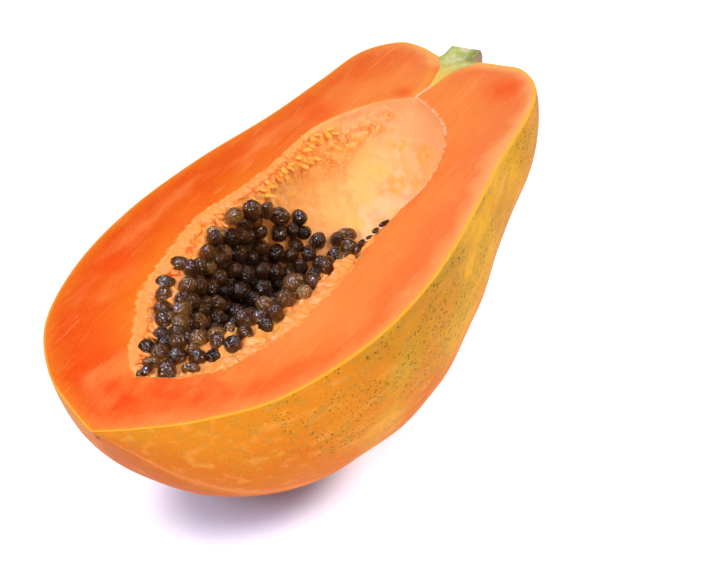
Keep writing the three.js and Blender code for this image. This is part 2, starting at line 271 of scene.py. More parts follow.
# Settings that every node of a kind has here.
USUAL_SETTINGS = {"Mix": {"data_type": "RGBA"}, "MapRange": {"interpolation_type": "SMOOTHSTEP"}}


def colour(hex_code):
    """An sRGB hex colour as linear red, green, blue and alpha."""
    parts = np.array([int(hex_code[i : i + 2], 16) for i in (1, 3, 5)]) / 255
    linear = np.where(parts <= 0.04045, parts / 12.92, ((parts + 0.055) / 1.055) ** 2.4)
    return (*linear, 1.0)


def add_node(tree, kind, *values, stops=(), output=None, **named):
    """Adds a node with its settings and links, and returns the named output or else the first in use.
    kind is Blender's name for it without ShaderNode, or an operation of the Math node, in capitals.
    values go to the inputs in use in their order, and a named one to the input or setting of that name.
    Each is a number, an sRGB hex colour, the name of a number kept on the mesh's points, which is 0
    where a mesh has none, or the output that feeds the input. stops are a colour ramp's."""
    settings = USUAL_SETTINGS.get(kind, {})
    if kind.isupper():
        kind, settings = "Math", {"operation": kind}
    made = tree.nodes.new("ShaderNode" + kind)
    sockets = {socket.identifier.lower().replace(" ", "_"): socket for socket in made.inputs}
    for key, value in {**settings, **named}.items():
        if key not in sockets:
            setattr(made, key, value)
    given = dict(zip((key for key, socket in sockets.items() if socket.enabled), values))
    for key, value in {**given, **named}.items():
        if key not in sockets:
            continue
        if isinstance(value, str) and value.startswith("#"):
            value = colour(value)
        elif isinstance(value, str):
            value = add_node(tree, "Attribute", attribute_name=value, output="Fac")
        if isinstance(value, bpy.types.NodeSocket):
            tree.links.new(value, sockets[key])
        else:
            sockets[key].default_value = value
    if stops:
        marks = made.color_ramp.elements
        while len(marks) < len(stops):
            marks.new(1.0)
        for mark, (place, hex_code) in zip(marks, stops):
            mark.position, mark.color = place, colour(hex_code)
    if output:
        return made.outputs[output]
    return next((socket for socket in made.outputs if socket.enabled), None)


def new_finish(name):
    """A new empty material, and add_node for its own nodes."""
    material = bpy.data.materials.new(name)
    material.use_nodes = True
    material.node_tree.nodes.clear()
    return material, partial(add_node, material.node_tree)


def clouds_of(add, place, *rows):
    """Cloudy patterns. A row has the size of the patches in mm, their detail, how far they are drawn out
    along the fruit and how much they wind."""
    for size, detail, stretch, winding in rows:
        drawn_out = add("Mapping", place, scale=(1 / stretch, 1, 1))
        yield add("TexNoise", drawn_out, 1 / (size * MM), detail, distortion=winding)


def specks(add, place, pitch, radius, stretch):
    """Round specks, one in each cell of a pitch in mm, each with a random radius up to a share of the
    pitch: 1 in a speck and 0 round it."""
    drawn_out = add("Mapping", place, scale=(1 / stretch, 1, 1))
    distance, chance = (
        add("TexVoronoi", drawn_out, 1 / (pitch * MM), output=name) for name in ("Distance", "Color")
    )
    inside = add("SUBTRACT", add("MULTIPLY", chance, radius), distance)
    return add("MapRange", inside, 0, 0.08)


def product(add, *factors):
    """Numbers multiplied with each other. One given as a row is eased first: what it reads, where it
    starts and ends, and what it is there, 0 and 1 where that isn't said."""
    eased = [add("MapRange", *factor) if isinstance(factor, tuple) else factor for factor in factors]
    return reduce(partial(add, "MULTIPLY"), eased)


def layered(add, base, *layers):
    """Colours laid over a base one after another. A layer is its colour and the factors whose product
    is how much it covers."""
    for hex_code, *factors in layers:
        base = add("Mix", product(add, *factors), base, hex_code)
    return base


def papaya_flesh():
    """Ripe papaya flesh, sliced: moist, slightly translucent, redder under the rind and peach beside it.
    Soft light goes into it, so edges glow, and faint strands run lengthwise. Wet glints dotted along the
    cavity's near rim are a painted highlight."""
    material, add = new_finish("ripe papaya flesh, sliced")
    patches, clouds, strands, grain, rim_lumps, wet_glint_spots = clouds_of(
        add, add("TexCoord", output="Object"),
        (14, 3, 1, 0), (26, 3, 2, 0), (1.6, 3, 9, 0.7), (0.7, 2, 1, 0), (3, 2, 1, 0), (2.6, 3, 1, 0),
    )
    wander = product(add, (patches, 0.2, 0.8, -3.5, 3.5), ("from_rind", 1, 6))
    share = add("MULTIPLY", add("ADD", "from_rind", wander), 1 / THICKEST_FLESH)
    far_flesh, near_flesh, by_stalk = (add("ValToRGB", share, stops=stops) for stops in (
        [
            (0, "#ED9824"), (0.03, "#EB7217"), (0.1, "#E86210"), (0.22, "#E65004"),
            (0.42, "#E95606"), (0.62, "#ED640D"), (0.9, "#F27716"),
        ], [
            (0, "#F5A036"), (0.03, "#F28C40"), (0.07, "#F0803C"), (0.13, "#F07634"),
            (0.2, "#EE6E2A"), (0.3, "#EE702A"), (0.45, "#F28038"), (0.9, "#F5843C"),
        ], [
            (0, "#F6B248"), (0.03, "#F5AE66"), (0.08, "#F4A062"), (0.14, "#F28C50"),
            (0.22, "#F07A42"), (0.3, "#F07C40"), (0.6, "#F3833C"), (0.9, "#F4843C"),
        ],
    ))
    near_flesh = layered(add, near_flesh, (by_stalk, ("along", 40, 190)))
    far_flesh = layered(add, far_flesh, ("#F27E38", ("along", 110, 190, 0, 0.24)))
    deep_in = ("from_rind", 5, 12)
    edge = add("ADD", "from_pulp", add("MapRange", rim_lumps, 0.25, 0.75, -0.7, 0.7))
    flesh = layered(
        add, add("Mix", "near_side", far_flesh, near_flesh),
        ("#F04706", ("along", 18, 62, 0.9, 0), (patches, 0.35, 0.6), deep_in),
        ("#F5591A", (clouds, 0.5, 0.7, 0, 0.55), deep_in),
        ("#FB9048", (clouds, 0.48, 0.34, 0, 0.5), deep_in),
        ("#FFA96A", (strands, 0.56, 0.76, 0, 0.24)),
        ("#EE5214", (strands, 0.44, 0.28, 0, 0.18)),
        ("#FFB585", (grain, 0.58, 0.8, 0, 0.25)),
        ("#F04A0C", "red"),
        ("#F7AA3C", "golden"),
        ("#FFC890", ("seam", 0.1, 1, 0, 0.9)),
        ("#FBA85A", (edge, 1.3, 0.2)),
        # painted highlight: pale dashes of wet glint along the cavity's near rim, towards the stalk
        ("#FFE2C4", "wet", (wet_glint_spots, 0.36, 0.62, 0, 0.85)),
        (add("Mix", "near_side", "#F0A23C", "#F8B02C"), ("from_rind", 0.45, 1, 1, 0)),
    )
    normal = add("Bump", height=add("ADD", strands, grain), strength=0.3, distance=0.3 * MM)
    add("OutputMaterial", add(
        "BsdfPrincipled", flesh, roughness=0.45, ior=1.36, specular_ior_level=0.06, normal=normal,
        subsurface_weight=0.2, subsurface_radius=(1, 0.3, 0.1), subsurface_scale=2 * MM,
    ))
    return material


def papaya_rind():
    """Ripe papaya rind: thin and waxy, orange going to gold, with fine olive specks drawn out along the
    fruit. The wax gives a broad soft shine. Towards the tip the underside is painted darker as shade, and a
    paler line along the ridge there is a painted highlight, as is a thin yellow line along the cut edge."""
    material, add = new_finish("waxy papaya rind")
    place = add("TexCoord", output="Object")
    patches, streaks, drifts, fine, spots, pores = clouds_of(
        add, place, (30, 3, 1, 0), (5.5, 4, 3, 0), (10, 4, 3, 0.6), (1.1, 2, 1.5, 0), (2.6, 3, 1.8, 0.5),
        (0.8, 2, 1, 0),
    )
    ripe = add("ADD", "along", add("MapRange", patches, 0.2, 0.8, -45, 45))
    ripe = add("MapRange", ripe, 0, 240)
    top = add("ValToRGB", ripe, stops=[
        (0, "#D97E18"), (0.25, "#D48016"), (0.45, "#D99A26"), (0.65, "#E4A516"), (0.85, "#DF9E12"),
        (1, "#D0860C"),
    ])
    low = add("ValToRGB", ripe, stops=[
        (0, "#D06D0D"), (0.3, "#D06F10"), (0.55, "#DB8214"), (0.8, "#E19317"), (1, "#CE7509"),
    ])
    high_up = add("ADD", "around", add("MapRange", patches, 0.2, 0.8, -0.16, 0.16))
    crowd = product(
        add, (drifts, 0.36, 0.6, 0.3, 1), (high_up, 0.15, 0.65, 0.4, 1), ("along", 8, 45, 0.3, 1),
    )
    small, large = (
        specks(add, place, pitch, add("MULTIPLY", crowd, radius), stretch)
        for pitch, radius, stretch in ((0.85, 0.55, 2), (2.7, 0.22, 2.2))
    )
    base = layered(
        add, low,
        (top, (high_up, 0.3, 0.75)),
        ("#F0A448", (streaks, 0.5, 0.72, 0, 0.4)),
        ("#C27C2C", (streaks, 0.47, 0.3, 0, 0.18)),
        (
            "#AE861A", (drifts, 0.42, 0.62, 0.05, 0.55), (high_up, 0.35, 0.8),
            ("along", 40, 110, 0.3, 1), ("along", 150, 185, 1, 0.5),
        ),
        ("#B0781A", ("around", 0.78, 0.95, 0, 0.4), ("along", 50, 75), ("along", 125, 145, 1, 0)),
        ("#A5853C", (spots, 0.53, 0.66, 0, 0.35), (high_up, 0.15, 0.6)),
        ("#F0A841", (fine, 0.55, 0.75, 0, 0.25)),
        ("#564A1A", add("MAXIMUM", small, large), 0.78),
        # painted shade: the underside darker towards the tip
        ("#B4561A", "under"),
        # painted highlight along the ridge on the near side, towards the tip
        ("#FFB478", "crest"),
        # painted highlight: a thin yellow line along the rind's cut edge, where a rounded edge would catch
        # light
        ("#F4AC2C", ("around", 0.985, 1, 0, 0.8)),
        ("#2A1A10", "scar"),
    )
    normal = add("Bump", height=add("ADD", pores, streaks), strength=0.2, distance=0.4 * MM)
    add("OutputMaterial", add(
        "BsdfPrincipled", base, roughness=0.48, ior=1.4, specular_ior_level=0.04, normal=normal,
    ))
    return material


def torn_pulp():
    """The soft pulp that lines the cavity: pale, wet and translucent, with deeper orange in random patches
    and, as painted shade, in the crevices of the wall's folds, yellow in its thick parts, and dark brown
    painted deep in the cavity as shade. It gives off a little light of its own, which stands for the light
    that comes through the flesh."""
    material, add = new_finish("torn cavity pulp")
    place = add("TexCoord", output="Object")
    patches, grains = clouds_of(add, place, (10, 4, 1, 0), (0.9, 3, 1, 0))
    base = add("ValToRGB", patches, stops=[
        (0.32, "#FDB068"), (0.44, "#FEBA70"), (0.54, "#FFC37A"), (0.68, "#FFC158"),
    ])
    base = layered(
        add, base,
        ("#FFBE8C", "pink"),
        ("#FFD28A", (grains, 0.5, 0.7, 0, 0.4)),
        ("#DE8232", (grains, 0.6, 0.44, 0, 0.8), "rough"),
        ("#FDB440", "yellow"),
        # deeper orange: painted shade in the troughs of the wall's folds, random patches on the scraps and
        # bed
        ("#F07A2C", "crevice"),
        ("#F68834", "by_rim"),
        # painted shade: dark brown deep in the cavity, on the seed bed
        ("#4A2A14", "deep"),
    )
    normal = add("Bump", height=grains, strength=0.45, distance=0.5 * MM)
    add("OutputMaterial", add(
        "BsdfPrincipled", base, roughness=0.34, ior=1.36, specular_ior_level=0.45, normal=normal,
        subsurface_weight=0.4, subsurface_radius=(1, 0.7, 0.4), subsurface_scale=1.4 * MM,
        emission_color="#FF8A30", emission_strength=add("MapRange", "deep", 0, 0.5, 0.11, 0),
    ))
    return material


def wet_seed():
    """A papaya seed in its gel coat: dark olive brown, creased under a clear wet skin, so each crease
    breaks the light into small cool glints."""
    material, add = new_finish("papaya seed in wet gel")
    own = add("Attribute", attribute_name="own", output="Vector")
    folds, mottle = clouds_of(add, own, (2, 1, 2.2, 0.8), (1.5, 2, 2, 0))
    creases = add("ABSOLUTE", add("ADD", folds, -0.5))
    base = add("ValToRGB", "tone", stops=[
        (0, "#200F08"), (0.4, "#603612"), (0.8, "#8E5E2A"), (1, "#B48A52"),
    ])
    base = layered(
        add, base, ("#5C3216", (mottle, 0.5, 0.75, 0, 0.5)), ("#1E0E06", (creases, 0.1, 0, 0, 0.6)),
    )
    normal = add("Bump", height=creases, strength=0.9, distance=1.8 * MM)
    add("OutputMaterial", add(
        "BsdfPrincipled", base, roughness=0.3, ior=1.4, specular_ior_level=0.3, normal=normal,
        coat_weight=1, coat_roughness=0.06, coat_ior=1.5, coat_normal=normal,
    ))
    return material


def stalk_cut():
    """The sliced stalk: pale yellow-green fibres with a whitish pith, browning at its end."""
    material, add = new_finish("sliced green stalk")
    place = add("TexCoord", output="Object")
    fibres, patches = clouds_of(add, place, (1.1, 3, 4, 0), (3.5, 3, 1, 0))
    base = add("ValToRGB", patches, stops=[(0.35, "#B0BA5C"), (0.5, "#C2C874"), (0.65, "#D4D490")])
    base = layered(
        add, base,
        ("#E4CDB4", ("across", 0.55, 0.1), (patches, 0.46, 0.6, 0, 0.8), ("along", 230, 234)),
        ("#EFC250", ("along", 233, 220)),
        ("#66743A", "near", (patches, 0.3, 0.7, 0.55, 1)),
        ("#A8835C", "brown"),
        ("#D9D78C", (fibres, 0.5, 0.7, 0, 0.4)),
        ("#9DB24A", ("across", 0.84, 1, 0, 0.8), ("along", 231, 234)),
    )
    normal = add("Bump", height=fibres, strength=0.6, distance=0.6 * MM)
    add("OutputMaterial", add(
        "BsdfPrincipled", base, roughness=0.5, ior=1.4, normal=normal,
        subsurface_weight=0.1, subsurface_radius=(0.8, 1, 0.3), subsurface_scale=1.5 * MM,
    ))
    return material


def stalk_skin():
    """The stalk's own skin: green and dull, with fine furrows lengthwise."""
    material, add = new_finish("green stalk skin")
    (furrows,) = clouds_of(add, add("TexCoord", output="Object"), (1.4, 3, 5, 0))
    base = add("ValToRGB", furrows, stops=[(0.35, "#5F6B35"), (0.55, "#7F8B45"), (0.7, "#A1A45A")])
    base = layered(add, base, ("#A8805A", "brown"))
    normal = add("Bump", height=furrows, strength=0.6, distance=0.6 * MM)
    add("OutputMaterial", add("BsdfPrincipled", base, roughness=0.55, ior=1.45, normal=normal))
    return material


# ---- the flesh with its rind ------------

LENGTHWISE = 420
RIND_COLUMNS, FACE_COLUMNS, WALL_COLUMNS = 62, 12, 128
LINING = {  # the pulp that stands out from the wall just under the cut face, as x and height
    "left": [(29, 1), (42, 4.6), (70, 5.6), (110, 5), (132, 3.2), (160, 2.4), (180, 0.6), (205, 0)],
    "right": [(29, 1), (40, 5), (62, 6.4), (82, 6), (100, 4), (118, 1), (150, 0.4), (205, 0)],
}
SCAR = np.array([2.0, 1.0, -5.0])  # where the blossom dropped off
SEAM = [(205, 1.0), (209, 0.2), (214, -1.1), (219, -1.1)]  # pale line from the cavity to the stalk
GOLDEN = [  # paler flesh along both sides of the stalk, as x and y
    [(207, 2.6), (214, 2.4), (220, 3.8), (227, 7.0), (232, 10.5)],
    [(217, -2.6), (224, -5.0), (229, -8.0), (233, -13)],
]
RED_PATCHES = [(219.4, -31.2, 7.0), (187, 35.2, 6.0), (81, 52.5, 7.0), (207, 8.0, 3.5)]  # x, y, size
# on the cavity's wall: a band of broken pulp, yellow pulp as x, y, z and size, and a ridge lengthwise
ROUGH_BAND = [(159, 29.5, -9), (172.6, 28.2, -15), (182, 25, -13.6), (190, 20, -11), (199, 12, -8.5)]
YELLOW_PATCHES = [(197, 7.4, -18, 3.5), (197, -4, -20.5, 4), (185, 5, -30, 4), (176, -6, -34, 3)]
WALL_RIDGE = [(202, 3.5, -9.8), (196, 3.6, -20), (182, 3.6, -32.3), (168, 3, -38)]
FOLD_LENGTHS = (3.1, 4.3, 6.7)  # of the lining's folds along the rim
BY_RIM = (-8, -1.5)  # heights between which the pulp takes on the flesh's colour


def wall_angles():
    """Angles from 0 to pi, closer together near the cut face: half of t - 0.72 sin t, t from 0 to 2 pi."""
    turn = np.linspace(0, 2 * np.pi, WALL_COLUMNS + 1)
    return (turn - 0.72 * np.sin(turn)) / 2


def lining_at(x, on_left):
    """How high the lining stands at x on one side of the cavity."""
    left, right = (np.interp(x, *np.transpose(LINING[side])) for side in ("left", "right"))
    return np.where(on_left, left, right)


def lining_height(x, angle):
    """How far the lining stands out: full a little under the cut face, then fading downwards."""
    down = np.minimum(angle, np.pi - angle)
    return lining_at(x, angle < np.pi / 2) * plateau(down, 0, 0.05, 0.16, 0.62)


def line_distance(points, line, cuts=60):
    """The distance of each point from the nearest point of a line drawn through a few places."""
    line = np.asarray(line, float)
    if cuts:
        line = smooth_line(line, np.linspace(0, 1, cuts))
    flat = points[..., : line.shape[1]].reshape(-1, line.shape[1])
    batches = np.array_split(flat, 60)  # so that the table of distances stays small
    best = [np.linalg.norm(batch[:, None] - line[None], axis=-1).min(axis=1) for batch in batches]
    return np.concatenate(best).reshape(points.shape[:-1])


def wall_relief(points, angle):
    """How far the wall's surface stands in from its smooth form, and how much it is crevice, rough and
    yellow; crevice is painted shade, deeper orange in the troughs of the folds. The folds of the lining are
    waves of three lengths along the rim, bent by lumps."""
    x = points[..., 0]
    down, on_left = np.minimum(angle, np.pi - angle), angle < np.pi / 2
    bend = x + 1.5 * lumps(points, 11, 3) + 3.0 * np.sin(3 * angle)
    folds = sum(np.sin(2 * np.pi * bend / length + k) for k, length in enumerate(FOLD_LENGTHS)) / 3
    strength = 0.5 + 0.5 * ease(lumps(points, 17, 2), -0.5, 0.6)
    lining = lining_height(x, angle)
    relief = lining * (0.78 + 0.34 * strength * folds)
    relief += 0.25 * ease(down, 0, 0.12) * lumps(points, 6, 4)
    relief += 0.4 * ease(lining, 0.5, 3) * lumps(points, 2.4, 6)
    # painted shade: deeper orange in the troughs of the folds
    crevice = 0.8 * ease(lining, 0.4, 2.5) * (1 - ease(folds * strength, -0.75, -0.25))
    # the rough band by the stalk, with yellow warts on it
    band = bell(line_distance(points, ROUGH_BAND), 4.2)
    broken = ease(lumps(points, 9, 8), -0.8, 0.2)
    warts = ease(lumps(points * [0.8, 1, 1], 4.2, 5), 0.1, 0.9) * ease(x, 164, 174)
    relief += band * (1.8 * warts + 0.25 * ease(lumps(points, 2.2, 13), 0, 1) + 0.2)
    relief += 0.7 * bell(line_distance(points, WALL_RIDGE), 2.2)
    side_band = on_left * plateau(x, 145, 160, 182, 196) * plateau(down, 0.15, 0.3, 0.7, 1.0)
    side_band *= ease(lumps(points, 12, 9), -0.4, 0.8)
    rough = np.clip(1.1 * band * broken + 0.45 * side_band, 0, 1) * (1 - 0.8 * warts)
    yellow = 0.7 * band * warts
    for px, py, pz, size in YELLOW_PATCHES:
        patch = bell(np.linalg.norm(points - [px, py, pz], axis=-1), size)
        patch *= ease(lumps(points, 3.5, 12), -0.5, 0.5)
        relief += 0.5 * patch
        yellow = np.maximum(yellow, patch)
    # crumbs of pulp left on the wall under the left rim, past the seeds
    crumbs = on_left * plateau(x, 115, 135, 152, 172) * plateau(down, 0.1, 0.3, 0.7, 1.1)
    grit = lumps(points, 3.4, 14)
    relief += 0.4 * crumbs * ease(grit, 0.2, 1.1)
    yellow = np.maximum(yellow, 0.7 * crumbs * ease(grit, 0.4, 1.1))
    crevice = np.maximum(crevice, 0.3 * crumbs * ease(lumps(points, 2.8, 15), 0.2, 1.0))
    return relief, crevice, rough, yellow


def make_papaya_half(finishes):
    """One closed surface: each ring goes down round the rind, across the cut face, down round the cavity
    and back out. The cut face is straight between the rind's edge and the cavity's."""
    share = np.linspace(0, 1, LENGTHWISE + 1)[:, None]
    rind_angle = np.linspace(0, np.pi, RIND_COLUMNS + 1)[None]
    rind = form_point(SKIN, share, rind_angle, FRUIT_EDGES)
    # shallow dents in the rind, and a deeper one at the scar
    dents = 0.07 + 0.28 * lumps(rind, 32, 11) * np.sin(rind_angle) ** 0.5
    dents += 1.1 * bell(np.linalg.norm(rind - SCAR, axis=-1), 1.6)
    axis = rind * [1, 0, 0]
    from_axis = np.maximum(np.linalg.norm(rind - axis, axis=-1), 8)
    rind = axis + (rind - axis) * (1 - dents / from_axis)[..., None]
    rind[..., 2] = np.maximum(rind[..., 2], -REST_DEPTH)
    by_tip = 1 - ease(rind[..., 0], 60, 120)
    # painted shade on the rind's underside towards the tip
    under = 0.5 * by_tip * plateau(rind_angle, 1.0, 1.25, 2.0, 2.1)
    # painted highlight: a pale line along the ridge near the tip
    crest = 0.2 * by_tip * bell(rind_angle - 2.13, 0.035)
    wall_angle = wall_angles()[None, ::-1]
    wall = form_point(CAVITY, share, wall_angle, CAVITY_EDGES)
    relief, crevice, rough, yellow = wall_relief(wall, wall_angle)
    relief *= ease(share, 0, 0.02) * (1 - ease(share, 0.98, 1))
    wall = inwards(wall, relief)
    across = (np.linspace(0, 1, FACE_COLUMNS + 2)[1:-1] ** 1.15)[None, :, None]
    right_face = rind[:, -1:] * across[:, ::-1] + wall[:, :1] * (1 - across[:, ::-1])
    left_face = wall[:, -1:] * (1 - across) + rind[:, :1] * across
    rings = np.concatenate([rind, right_face, wall, left_face], axis=1)
    columns = rings.shape[1]
    wall_start = RIND_COLUMNS + 1 + FACE_COLUMNS

    def spread(value, start=wall_start):
        """value in its own columns of the whole grid, and nothing elsewhere."""
        whole = np.zeros(rings.shape[:2])
        whole[:, start : start + value.shape[1]] = value
        return whole

    from_rind = line_distance(rings, np.concatenate([rind[:, 0], rind[::-1, -1]])[:, :2], cuts=0)
    from_rind[:, : RIND_COLUMNS + 1] = 0
    from_pulp = line_distance(rings, np.concatenate([wall[:, 0], wall[::-1, -1]])[:, :2], cuts=0)
    x, y, z = np.moveaxis(rings, -1, 0)
    lining = lining_at(x, y > 0)
    values = {
        "from_rind": from_rind,
        "from_pulp": from_pulp / (0.3 + np.where(y > 0, 0.24, 0.1) * lining),
        # wet: where the painted highlight of wet glints lies, a thin band along the cavity's near rim
        "wet": bell(from_pulp, 0.45) * ease(x, 132, 150) * ease(-y, -8, 4) * (x < 206),
        "golden": 0.4 * np.maximum.reduce([bell(line_distance(rings, line), 1.3) for line in GOLDEN]),
        "red": 0.7 * np.maximum.reduce([
            bell(np.hypot(x - px, y - py), size) for px, py, size in RED_PATCHES
        ]),
        "near_side": ease(x * 0.12 - y, -26, 26),
        "seam": bell(line_distance(rings, SEAM), 0.75),
        "along": x,
        "around": 1 - np.abs(z / np.minimum(z.min(axis=1, keepdims=True), -1)),
        "scar": bell(np.linalg.norm(rings - SCAR, axis=-1), 1.3, power=4),
        # the rind's painted shade underneath and its painted highlight along the ridge, both towards the
        # tip
        "under": spread(under, 0),
        "crest": spread(crest, 0),
        "crevice": spread(crevice),
        "rough": spread(rough),
        "yellow": spread(yellow),
        "pink": ease(x + 0.6 * z, 172, 190),
        "by_rim": 0.75 * ease(z, *BY_RIM) * (0.3 + 0.7 * ease(lining, 0.5, 3)),
    }
    faces = tube_faces(LENGTHWISE + 1, columns)
    square = np.repeat(np.arange(LENGTHWISE * columns) % columns, 2)
    on_wall = (square >= wall_start) & (square < wall_start + WALL_COLUMNS)
    finish_of = np.where(square < RIND_COLUMNS, 0, np.where(on_wall, 2, 1))
    sharp = np.zeros(rings.shape[:2], bool)
    sharp[:, [0, RIND_COLUMNS]] = True
    return make_mesh("papaya_half_flesh", rings, faces, finishes, finish_of, values, sharp)


# ---- soft scraps of pulp ------------


def across_of(direction):
    """Two unit vectors square to each direction and to each other."""
    side = np.cross(direction, UP)
    side /= np.maximum(np.linalg.norm(side, axis=-1, keepdims=True), 1e-6)
    return side, np.cross(side, direction)


def fingers(starts, directions, lengths, widths, flat, sag, seed):
    """Soft fingers. Along each, v from 0 to 1, its radius is width/2 (1 - (2v - 1)^4)^0.5 (1 - t v/2),
    t drawn for each, its middle sinks by sag length v^2, and its thickness is flat times its width;
    lumps bend it."""
    rows, columns = 8, 8
    directions = directions / np.linalg.norm(directions, axis=1, keepdims=True)
    v = (0.5 - 0.5 * np.cos(np.linspace(0, np.pi, rows)))[None, :, None, None]
    u = np.linspace(0, 2 * np.pi, columns, endpoint=False)[None, None, :, None]
    size = lengths[:, None, None, None]
    side, up = (vector[:, None, None] for vector in across_of(directions))
    middle = starts[:, None, None] + directions[:, None, None] * size * v - UP * sag * size * v**2
    taper = 1 - 0.5 * v * np.random.default_rng(seed).uniform(0, 1, len(starts))[:, None, None, None]
    radius = widths[:, None, None, None] / 2 * np.sqrt(np.maximum(1 - (2 * v - 1) ** 4, 0)) * taper
    points = middle + radius * (np.cos(u) * side + flat * np.sin(u) * up)
    inner = np.sin(np.pi * v)[..., 0]
    bend = lumps(points + np.arange(len(starts))[:, None, None, None] * 5.1, 3.2, seed)
    points = points + (0.4 * inner * bend)[..., None] * (np.cos(u) * side + np.sin(u) * up)
    points[:, [0, -1]] = points[:, [0, -1], :1]
    return points.reshape(-1, 3), tube_faces(rows, columns, len(starts))


def ribbon(line, reach, lift, thickness, seed):
    """A torn flap along a rim. Its cross-section is a flat oval reach wide that leans up by lift at its
    inner side; both ends taper, and lumps tear its inner side and wrinkle its top."""
    rows, columns = 40, 18
    v = np.linspace(0, 1, rows)[:, None, None]
    u = np.linspace(0, 2 * np.pi, columns, endpoint=False)[None, :, None]
    middle = smooth_line(line, v[..., 0])
    run = np.gradient(middle[:, 0], axis=0)[:, None]
    run /= np.linalg.norm(run, axis=-1, keepdims=True)
    inward = np.cross(run, UP)
    inward *= -np.sign((inward * middle).sum(axis=-1, keepdims=True))
    taper = np.sqrt(np.maximum(np.sin(np.pi * v), 0)) ** 0.8
    inner = (1 + np.cos(u)) / 2
    torn = 1 + 0.4 * inner * lumps(middle + 0 * u, 8, seed)[..., None]
    offset = reach / 2 * taper * torn * np.cos(u)
    rise = lift * inner**1.5 * taper + thickness / 2 * taper * np.sin(u)
    points = middle + inward * offset + UP * rise
    points[..., 2] += 0.3 * taper[..., 0] * lumps(points, 3.0, seed + 1)
    points[[0, -1]] = points[[0, -1], :1]
    return points.reshape(-1, 3), tube_faces(rows, columns)


def joined(parts):
    """Points and faces of several meshes in one."""
    starts = np.cumsum([0] + [len(points) for points, _ in parts[:-1]])
    return (
        np.concatenate([points for points, _ in parts]),
        np.concatenate([faces + start for (_, faces), start in zip(parts, starts)]),
    )


# fingers of pulp under the rims: how many, from x to x, angles, lengths, widths, drop, the share of the
# lining that they start behind, and the seed of their lumps
PULP_FINGERS = [
    (70, (34, 128), (0.02, 0.2), (4.0, 8.5), (1.8, 3.4), -0.25, 0.2, 41),
    (12, (122, 140), (0.05, 0.26), (3.5, 6.5), (2.0, 3.2), -0.2, 0.3, 42),
    (16, (139, 160), (0.06, 0.22), (2.6, 4.0), (2.1, 3.1), -0.3, 0.4, 45),
    (8, (161, 170), (0.14, 0.32), (3.8, 5.6), (2.3, 3.2), -0.1, 0.2, 46),
    (8, (169, 181), (0.06, 0.2), (3.2, 4.8), (2.1, 3.0), -0.2, 0.2, 47),
    (40, (34, 112), (np.pi - 0.2, np.pi - 0.03), (3.5, 7.5), (1.8, 3.4), -0.2, 0.2, 43),
]

# torn flaps of the right rim: from x to x, from y to y, how far they reach in, lift, and lumps' seed
TORN_FLAPS = [
    (61, 84, -33.5, -35.5, 6.5, 1.3, 51), (80, 99, -34.5, -35.0, 7.5, 0.6, 52),
    (94, 112, -34.5, -33.5, 5.0, 1.2, 53), (38, 58, -19.5, -31.0, 5.5, 0.3, 54),
    (114, 125, -35.6, -35.0, 1.8, 0.5, 55),
]
FLAP_THICKNESS = 1.3
LUMPS_BETWEEN_SEEDS = 60


def make_pulp_scraps(finish):
    """Fingers of pulp under both rims, lumps of it between the seeds, and torn flaps on the right rim."""
    draws = np.random.default_rng(5)
    parts = []
    for count, ends, angles, length, width, drop, bedding, seed in PULP_FINGERS:
        x = np.linspace(*ends, count) + draws.normal(0, 1.0, count)
        angle = draws.uniform(*angles, count)
        starts = form_point(CAVITY, share_at(CAVITY, x), angle, CAVITY_EDGES)
        inward = np.where(angle < np.pi / 2, -1.0, 1.0)
        onward, downward = draws.normal(0.2, 0.35, count), draws.normal(drop, 0.2, count)
        directions = np.stack([onward, inward, downward], axis=1)
        lengths = draws.uniform(*length, count)
        widths = draws.uniform(*width, count)
        starts[:, 2] = np.minimum(starts[:, 2], -widths / 2 - 0.4)
        starts[:, 1] += inward * bedding * lining_at(x, angle < np.pi / 2)
        parts.append(fingers(starts, directions, lengths, widths, 0.7, 0.15, seed))
    x = draws.uniform(34, 118, LUMPS_BETWEEN_SEEDS)
    y = draws.uniform(-1, 1, len(x)) * np.interp(x, (29, 50, 90, 130), (4, 22, 33, 30))
    starts = np.stack([x, y, draws.uniform(-6.5, -4.0, len(x))], axis=1)
    hollow = np.abs(radius_at(HOLLOW, x, np.where(y > 0, 0.0, np.pi))[1])
    starts = starts[np.abs(y) > hollow + 0.5]
    count = len(starts)
    directions = draws.normal(size=(count, 3)) * [1, 1, 0.25]
    lengths, widths = draws.uniform(3, 7, count), draws.uniform(1.6, 3, count)
    parts.append(fingers(starts, directions, lengths, widths, 0.8, 0.1, 44))
    for start, end, y_start, y_end, reach, lift, seed in TORN_FLAPS:
        middle = ((start + end) / 2, (y_start + y_end) / 2 + 0.6, -0.4)
        line = [(start, y_start + 2.0, -0.9), middle, (end, y_end + 2.0, -0.9)]
        parts.append(ribbon(line, reach, lift, FLAP_THICKNESS, seed))
    points, faces = joined(parts)
    past_seeds = ease(points[:, 0], 125, 140)
    values = {
        "crevice": 0.4 * ease(lumps(points, 5, 60), 0.3, 1.2),
        "yellow": np.maximum(0.6 * ease(lumps(points, 8, 61), 0.1, 0.9), 0.75 * past_seeds),
        "by_rim": 0.75 * ease(points[:, 2], *BY_RIM) * (1 - 0.8 * past_seeds),
    }
    return make_mesh("pulp_scraps", points, faces, [finish], values=values)


# the pulp that holds the seeds: its ends, how far it goes into the wall and behind the hollow's wall,
# how thin it may be, and how high its shelf lies and how far that sinks
BED = {
    "ends": (31.5, 153), "into_wall": 1.5, "behind_hollow": 2.2, "thinnest": 0.3, "shelf": -2.6,
    "shelf_slope": 2.2,
}


